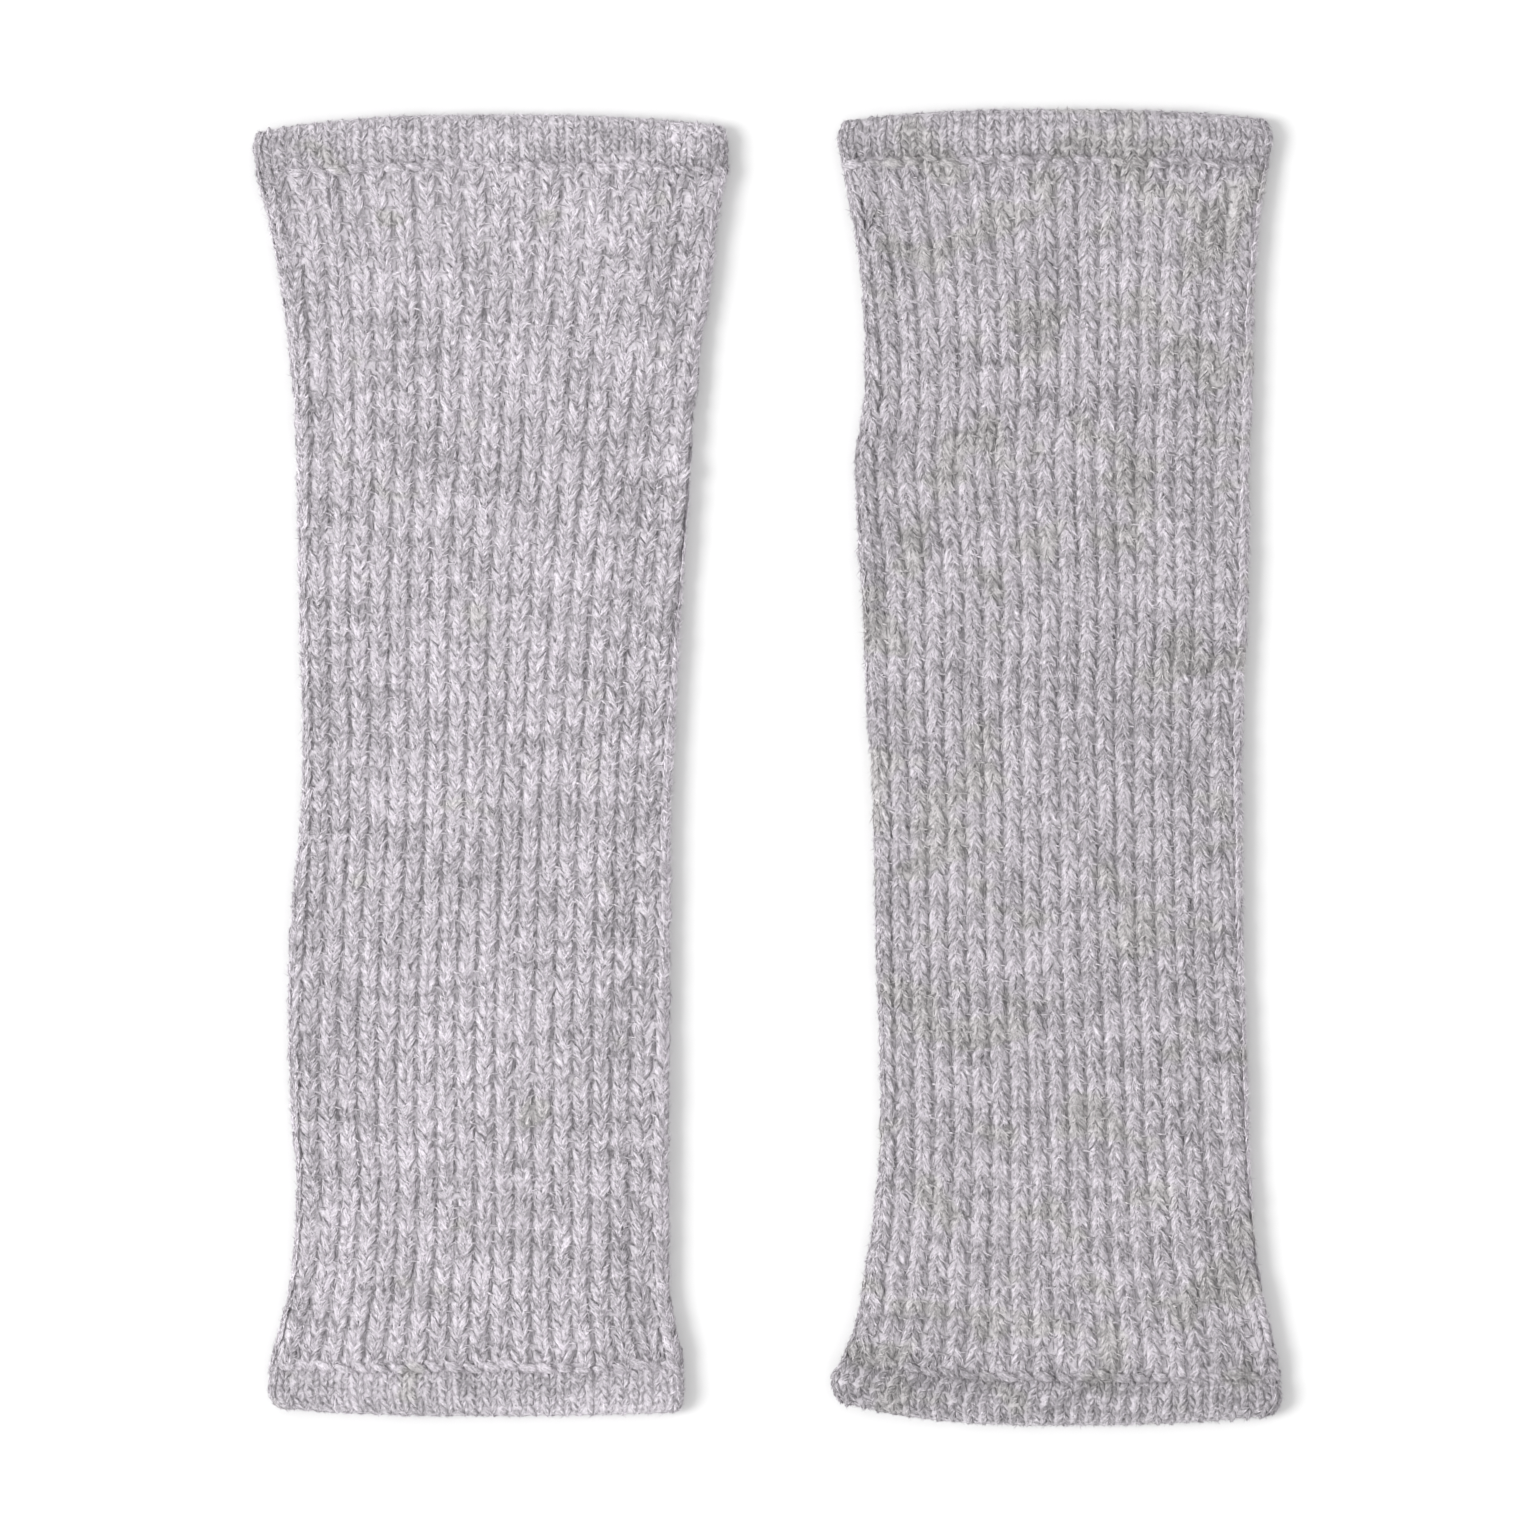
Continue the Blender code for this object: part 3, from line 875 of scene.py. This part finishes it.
def fibre_tree():
    """Loose wool fibres lying over the stitches, each a thin pointed blade turned nearly along its yarn."""
    tree, given = new_tree("loose_fibres", [
        ("Density", "Float"), ("Length", "Float"), ("Width", "Float"), ("Root Height", "Float"),
        ("Spread", "Float"), ("Least Tilt", "Float"), ("Most Tilt", "Float"), ("Seed", "Int"),
        ("Wool", "Material")])
    outward = named(tree, "outward", "FLOAT_VECTOR")
    normal = tree.nodes.new("GeometryNodeInputNormal").outputs[0]
    facing = add(tree, "ShaderNodeVectorMath", {"operation": "DOT_PRODUCT"}, i0=normal,
                 i1=outward).outputs["Value"]
    yarn = add(tree, "ShaderNodeSeparateXYZ", Vector=named(tree, "yarn", "FLOAT_VECTOR")).outputs
    upward = add(tree, "ShaderNodeSeparateXYZ", Vector=normal).outputs["Z"]
    # Fewer fibres grow where the yarn faces the floor
    share = add(tree, "ShaderNodeMapRange", Value=upward, From_Min=-0.5, From_Max=0.1,
                To_Min=0.3, To_Max=1.0).outputs[0]
    share = maths(tree, "MULTIPLY", share, maths(tree, "GREATER_THAN", facing, FIBRE_FACING))
    share = maths(tree, "MULTIPLY", share, maths(tree, "LESS_THAN", yarn["Z"], FIBRE_TIP))
    scatter = add(tree, "GeometryNodeDistributePointsOnFaces", Mesh=given["Geometry"],
                  Density=maths(tree, "MULTIPLY", given["Density"], share), Seed=given["Seed"])
    raised = add(tree, "GeometryNodeSetPosition", Geometry=scatter.outputs["Points"],
                 Offset=scaled(tree, scatter.outputs["Normal"], given["Root Height"])).outputs[0]
    blade = add(tree, "GeometryNodeMeshCircle", {"fill_type": "NGON"}, Vertices=3, Radius=1.0).outputs[0]
    place = tree.nodes.new("GeometryNodeInputPosition").outputs[0]
    parts = add(tree, "ShaderNodeSeparateXYZ", Vector=place).outputs
    along = maths(tree, "DIVIDE", maths(tree, "ADD", parts["X"], 0.5), 1.5)
    across = maths(tree, "DIVIDE", parts["Y"], math.sqrt(3.0))
    # Its own map keeps a little inside its cell of the baking map
    own_map = add(tree, "ShaderNodeCombineXYZ", X=maths(tree, "MULTIPLY_ADD", across, 0.9, 0.5),
                  Y=maths(tree, "MULTIPLY_ADD", along, 0.9, 0.05)).outputs[0]
    shape = add(tree, "ShaderNodeCombineXYZ", X=maths(tree, "MULTIPLY", across, given["Width"]),
                Y=maths(tree, "MULTIPLY", along, given["Length"])).outputs[0]
    hair = stored(tree, blade, "yarn_map", "FLOAT2", "CORNER", own_map)
    hair = add(tree, "GeometryNodeSetPosition", Geometry=hair, Position=shape).outputs[0]
    hair = add(tree, "GeometryNodeFlipFaces", Mesh=hair).outputs[0]
    seed = given["Seed"]
    narrow = maths(tree, "MULTIPLY", given["Spread"], -1.0)
    spin = random_value(tree, narrow, given["Spread"], maths(tree, "ADD", seed, 11.0))
    about = maths(tree, "ROUND", random_value(tree, 0.0, 1.0, maths(tree, "ADD", seed, 15.0)))
    spin = maths(tree, "MULTIPLY_ADD", about, math.pi, spin)
    tilt = random_value(tree, given["Least Tilt"], given["Most Tilt"], maths(tree, "ADD", seed, 12.0))
    stretch = random_value(tree, *FIBRE_STRETCH, maths(tree, "ADD", seed, 13.0))
    side = random_value(tree, -FIBRE_SIDE, FIBRE_SIDE, maths(tree, "ADD", seed, 14.0))
    lying = facing_along(tree, scatter.outputs["Normal"], named(tree, "grain", "FLOAT_VECTOR"))
    for axis, angle in ((Z_AXIS, spin), (X_AXIS, tilt), (Y_AXIS, side)):
        lying = turned(tree, lying, axis, angle)
    size = add(tree, "ShaderNodeCombineXYZ", X=1.0, Y=stretch, Z=1.0).outputs[0]
    number = tree.nodes.new("GeometryNodeInputIndex").outputs[0]
    hairs = add(tree, "GeometryNodeInstanceOnPoints", Points=raised, Instance=hair,
                Rotation=lying, Scale=size).outputs[0]
    hairs = stored(tree, hairs, "strand", "FLOAT", "INSTANCE", number)
    count = add(tree, "GeometryNodeAttributeDomainSize", {"component": "INSTANCES"},
                Geometry=hairs).outputs["Instance Count"]
    cells = maths(tree, "CEIL", maths(tree, "SQRT", count))
    hairs = add(tree, "GeometryNodeRealizeInstances", Geometry=hairs).outputs[0]
    hairs = baking_map(tree, hairs, named(tree, "yarn_map", "FLOAT_VECTOR"), named(tree, "strand", "FLOAT"),
                       cells)
    hairs = without(tree, above_floor(tree, hairs), "yarn_map", "outward", "grain")
    hairs = add(tree, "GeometryNodeSetMaterial", Geometry=hairs, Material=given["Wool"]).outputs[0]
    sink = tree.nodes.new("NodeGroupOutput")
    tree.links.new(hairs, sink.inputs[0])
    return tree


def grown(name, source, tree, values):
    """The plain mesh that a tree makes from a source object, with the tree's inputs set by name."""
    modifier = source.modifiers.new("grow", "NODES")
    modifier.node_group = tree
    identifiers = {item.name: item.identifier for item in tree.interface.items_tree
                   if item.in_out == "INPUT"}
    for label, value in values.items():
        modifier[identifiers[label]] = value
    evaluated = source.evaluated_get(bpy.context.evaluated_depsgraph_get())
    mesh = bpy.data.meshes.new_from_object(evaluated)
    source.modifiers.remove(modifier)
    mesh.name = name
    piece = bpy.data.objects.new(name, mesh)
    bpy.context.collection.objects.link(piece)
    return piece


def joined(name, pieces):
    """One object from several."""
    with bpy.context.temp_override(active_object=pieces[0], selected_editable_objects=pieces):
        bpy.ops.object.join()
    pieces[0].name = name
    pieces[0].data.name = name
    return pieces[0]


def knitted(name, rows, tree, wool):
    """One piece from several charts, each worked with its own pair or row of yarn legs."""
    pieces = []
    cells = math.ceil(math.sqrt(sum(len(chart) * len(leg["sides"]) for chart, leg in rows)))
    first_cell = 0
    for seed, (chart, leg) in enumerate(rows):
        points = chart_object(chart)
        for side in leg["sides"]:
            values = {
                "Length": leg["length"] * MM, "Width": leg["width"] * MM,
                "Thickness": leg["thickness"] * MM, "Arch": leg["arch"] * MM,
                "Lean": math.radians(leg["lean"]) * side, "Roll": math.radians(leg["roll"]) * side,
                "Aside": leg["aside"] * side, "Slant": -LEG_SLANT * side,
                "Tip Down": leg["tip_down"] * MM, "Unevenness": leg["unevenness"],
                "Grain": math.radians(leg["grain"]) * side, "Paleness": leg["paleness"],
                "Sides": leg["around"], "Segments": leg["segments"],
                "Seed": 100 * seed + 10 * (side + 2), "First Cell": first_cell,
                "Cells Across": cells, "Wool": wool}
            pieces.append(grown(name, points, tree, values))
            first_cell += len(chart)
        bpy.data.objects.remove(points)
    return joined(name, pieces)


# Wool

def noise(tree, vector, scale, detail=2.0, roughness=0.5):
    """A noise from 0 to 1."""
    return add(tree, "ShaderNodeTexNoise", Vector=vector, Scale=scale, Detail=detail,
               Roughness=roughness).outputs[0]


def stretched(tree, vector, size):
    """A vector with each direction scaled."""
    return add(tree, "ShaderNodeVectorMath", {"operation": "MULTIPLY"}, i0=vector, i1=size).outputs[0]


def weighted(tree, total, value, weight):
    """A total with a noise added, counted from the noise's middle."""
    offset = maths(tree, "SUBTRACT", value, 0.5)
    return maths(tree, "MULTIPLY_ADD", offset, weight, total)


def wool_material(name, tone, warmth, stitched=True, fibres=False, shade=1.0):
    """Fuzzy melange wool: lilac-grey with lighter and darker fibres, streaked along each strand."""
    material = bpy.data.materials.new(name)
    material.use_nodes = True
    tree = material.node_tree
    shader = tree.nodes["Principled BSDF"]
    place = tree.nodes.new("ShaderNodeTexCoord").outputs["Object"]
    courses = noise(tree, stretched(tree, place, COURSES_GRAIN), 1.0, 3.0, 0.6)
    patches = noise(tree, stretched(tree, place, PATCHES_GRAIN), 1.0, 2.0, 0.6)
    flecks = noise(tree, place, FLECKS_GRAIN, 2.0, 0.6)
    lightness = weighted(tree, 0.5, courses, PATTERN_WEIGHTS["courses"])
    lightness = weighted(tree, lightness, patches, PATTERN_WEIGHTS["patches"])
    lightness = weighted(tree, lightness, flecks, PATTERN_WEIGHTS["flecks"])
    height = flecks
    if stitched:
        yarn = add(tree, "ShaderNodeAttribute", {"attribute_name": "yarn"}).outputs["Vector"]
        leg = add(tree, "ShaderNodeAttribute", {"attribute_name": "leg"}).outputs["Fac"]
        pale = add(tree, "ShaderNodeAttribute", {"attribute_name": "paleness"}).outputs["Fac"]
        shift = add(tree, "ShaderNodeCombineXYZ", X=maths(tree, "MULTIPLY", leg, LEG_SHIFT[0]),
                    Y=maths(tree, "MULTIPLY", leg, LEG_SHIFT[1])).outputs[0]
        own = vector_maths(tree, "ADD", stretched(tree, yarn, STREAKS_GRAIN), shift)
        streaks = noise(tree, own, 1.0, 2.0, 0.5)
        lightness = weighted(tree, lightness, streaks, PATTERN_WEIGHTS["streaks"])
        # Paleness brings in the stitches' painted shade, highlights and shadow ticks, besides the tones of
        # the hems and loops
        lightness = maths(tree, "ADD", lightness, pale)
        height = streaks
    if fibres:
        strand = add(tree, "ShaderNodeAttribute", {"attribute_name": "strand"}).outputs["Fac"]
        whole = add(tree, "ShaderNodeTexWhiteNoise", {"noise_dimensions": "1D"}, W=strand).outputs["Value"]
        lightness = weighted(tree, lightness, whole, PATTERN_WEIGHTS["strands"])
    ramp = tree.nodes.new("ShaderNodeValToRGB")
    ramp.color_ramp.interpolation = "LINEAR"
    for number, (position, amount) in enumerate(TONE_STEPS):
        if number < 2:
            element = ramp.color_ramp.elements[number]
            element.position = position
        else:
            element = ramp.color_ramp.elements.new(position)
        element.color = (*(min(channel * amount * shade, PALEST) for channel in tone), 1.0)
    tree.links.new(lightness, ramp.inputs["Fac"])
    warm_places = noise(tree, stretched(tree, place, WARM_GRAIN), 1.0, 1.0)
    warm_amount = add(tree, "ShaderNodeMapRange", Value=warm_places, From_Min=warmth,
                      From_Max=warmth + WARM_FADE, To_Min=0.0, To_Max=1.0).outputs[0]
    warm = add(tree, "ShaderNodeMix", {"data_type": "RGBA", "blend_type": "MULTIPLY"})
    colours = [socket for socket in warm.inputs if socket.type == "RGBA"]
    tree.links.new(warm_amount, warm.inputs[0])
    tree.links.new(ramp.outputs["Color"], colours[0])
    colours[1].default_value = WARM_CAST
    finished = next(socket for socket in warm.outputs if socket.type == "RGBA")
    tree.links.new(finished, shader.inputs["Base Color"])
    bump = add(tree, "ShaderNodeBump", Height=height, Strength=0.7, Distance=0.0006)
    tree.links.new(bump.outputs["Normal"], shader.inputs["Normal"])
    shader.inputs["Roughness"].default_value = 0.9
    shader.inputs["Specular IOR Level"].default_value = 0.15
    shader.inputs["Sheen Weight"].default_value = 0.25
    shader.inputs["Sheen Roughness"].default_value = 0.5
    return material


def dressed(piece, material):
    """A piece with one material."""
    piece.data.materials.clear()
    piece.data.materials.append(material)
    return piece


# The gloves

def front_stitches(side, tree, wool):
    """Every stitch of a ribbed front, with the purl bars and the dark legs painted as shadows in the holes
    between the ribs.

    The furrows behind and beside the left fold are knitted over.
    """
    rows = [(rib_chart(side, 1, STITCH_SUNK), RIB_LEG),
            (rib_chart(side, 1, STITCH_SUNK, 0.0, range(FOLD_RIBS)), BACK_LEG),
            (rib_chart(side, 1, BAR_SUNK, 0.0, range(LAST_FURROW + 1)), PURL_BAR),
            (rib_chart(side, 1, SHADOW_TICK_SUNK, 0.0, range(FOLD_RIBS, LAST_FURROW), 0.5), FURROW_SHADOW_TICK),
            (rib_chart(side, 1, LAST_SHADOW_TICK_SUNK, 0.0, [LAST_FURROW], 0.5), LAST_SHADOW_TICK)]
    return knitted(side + "_front_stitches", rows, tree, wool)


def back_stitches(side, tree, wool):
    """Every stitch of a ribbed back."""
    return knitted(side + "_back_stitches", [(rib_chart(side, -1, BACK_SUNK), BACK_LEG)], tree, wool)


def hem_stitches(side, tree, wool):
    """The stitches of both hems, and the loops that link them to the ribs."""
    rows = []
    for end in ("lower", "upper"):
        paleness = HEM_PALENESS[side + "_" + end]
        rows.append((hem_chart(side, end, HEM_STITCH_SUNK), {**HEM_LEG, "paleness": paleness}))
        loop_paleness = SEAM_LOOP["paleness"] + paleness
        rows.append((seam_chart(side, end), {**SEAM_LOOP, "paleness": loop_paleness}))
    return knitted(side + "_hem_stitches", rows, tree, wool)


def loose_fibres(side, place, stitches, tree, wool):
    """The fuzz over some stitches."""
    fuzz = FUZZ[place]
    values = {"Density": fuzz["density"], "Length": fuzz["length"] * MM, "Width": fuzz["width"] * MM,
              "Root Height": fuzz["height"] * MM, "Spread": math.radians(fuzz["spread"]),
              "Least Tilt": math.radians(LEAST_TILT), "Most Tilt": math.radians(fuzz["tilt"]),
              "Seed": FIBRE_SEED, "Wool": wool}
    return grown(side + "_" + place + "_fuzz", stitches, tree, values)


def build_glove(side, leg_tree, hair_tree):
    """One glove with its tube, hems, stitches and fuzz."""
    tone, warmth = WOOL_TONES[side], WARM_FROM[side]
    yarn = wool_material(side + "_yarn", tone, warmth)
    # The ground cloth's darker tone is painted shade between the stitches
    ground = wool_material(side + "_ground", tone, warmth, stitched=False, shade=GROUND_PAINTED_SHADE)
    fuzz_wool = wool_material(side + "_fuzz_wool", tone, warmth, fibres=True, shade=FUZZ_SHADE)
    tube = dressed(rib_cloth(side), ground)
    hems = {end: dressed(hem_cloth(side, end), ground) for end in ("lower", "upper")}
    stitches = {"front": front_stitches(side, leg_tree, yarn), "back": back_stitches(side, leg_tree, yarn),
                "hems": hem_stitches(side, leg_tree, yarn)}
    fuzz = {place: loose_fibres(side, place, stitches[place], hair_tree, fuzz_wool) for place in FUZZ}
    for piece in (tube, *hems.values(), *stitches.values(), *fuzz.values()):
        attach(piece, "root")
    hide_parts(side + "_rib_front", side + "_rib_back")
    for end, cloth in hems.items():
        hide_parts(side + "_" + end + "_hem_front", side + "_" + end + "_hem_back")


# Floor, light and camera

# In metres, and the sensor in its own millimetres
FLOOR_SIZE = 6.0
FRAME_WIDTH = 0.330
CAMERA_HEIGHT = 2.6
SENSOR = 36.0

FLOOR_WHITE = 0.8
SKY_STRENGTH = 0.885
KEY_STRENGTH = 2.24

# How wide the key light's disc is and how it is turned, in degrees
KEY_ANGLE = 28.0
KEY_TURN = (3.0, -46.0, 0.0)


def build_floor():
    """A plain white floor."""
    half = 0.5 * FLOOR_SIZE / MM
    floor = make_object("floor", [(-half, -half, 0), (half, -half, 0), (half, half, 0), (-half, half, 0)],
                        [(0, 1, 2, 3)])
    material = bpy.data.materials.new("white_floor")
    material.use_nodes = True
    shader = material.node_tree.nodes["Principled BSDF"]
    shader.inputs["Base Color"].default_value = (FLOOR_WHITE, FLOOR_WHITE, FLOOR_WHITE, 1.0)
    shader.inputs["Roughness"].default_value = 1.0
    shader.inputs["Specular IOR Level"].default_value = 0.0
    dressed(floor, material)


def build_light():
    """Even white light all round, and a soft key from the upper left."""
    world = bpy.data.worlds.new("studio")
    world.use_nodes = True
    sky = world.node_tree.nodes["Background"]
    sky.inputs["Color"].default_value = (1.0, 1.0, 1.0, 1.0)
    sky.inputs["Strength"].default_value = SKY_STRENGTH
    bpy.context.scene.world = world
    key = bpy.data.lights.new("key", "SUN")
    key.energy = KEY_STRENGTH
    key.angle = math.radians(KEY_ANGLE)
    lamp = bpy.data.objects.new("key", key)
    lamp.rotation_euler = [math.radians(angle) for angle in KEY_TURN]
    bpy.context.collection.objects.link(lamp)


def build_camera():
    """A camera straight above the pair, with the photograph's square frame."""
    data = bpy.data.cameras.new("camera")
    data.sensor_width = SENSOR
    data.lens = SENSOR * CAMERA_HEIGHT / FRAME_WIDTH
    data.clip_end = 20.0
    camera = bpy.data.objects.new("camera", data)
    camera.location = (0.0, 0.0, CAMERA_HEIGHT)
    bpy.context.collection.objects.link(camera)
    bpy.context.scene.camera = camera


def main():
    """The pair on its floor, lit and seen from above."""
    build_camera()
    build_light()
    build_floor()
    bpy.context.scene.view_settings.view_transform = "Standard"
    leg_tree = stitch_tree()
    hair_tree = fibre_tree()
    for side in ("left", "right"):
        build_glove(side, leg_tree, hair_tree)


main()
